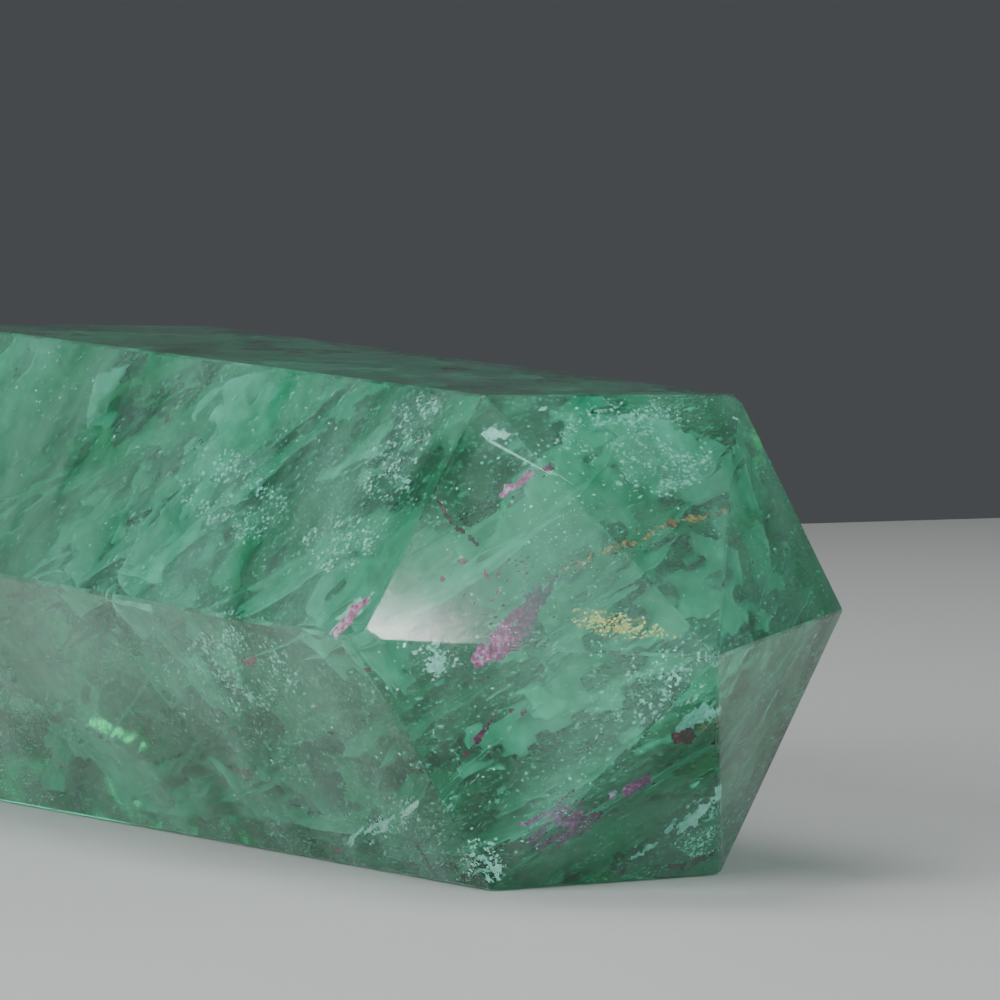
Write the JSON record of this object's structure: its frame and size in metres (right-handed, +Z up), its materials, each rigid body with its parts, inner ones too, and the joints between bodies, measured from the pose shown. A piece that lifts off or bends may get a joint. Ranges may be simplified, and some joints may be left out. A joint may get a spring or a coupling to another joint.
{
  "type": "fluorite point",
  "caption": "Polished hexagonal fluorite tower with a faceted point and a flat sawn base, lying on one long face; clear green stone with milky veils and purple streaks.",
  "frame": {"origin": "on the surface that the stone rests on, under the middle of its box", "axes": "+X along the stone towards its point, +Y across it, +Z up"},
  "size_m": [0.1064, 0.0482, 0.0408],
  "materials": {
    "fluorite": "hand polished natural green fluorite"
  },
  "bodies": {
    "root": {"fluorite_point": "fluorite"}
  },
  "joints": []
}
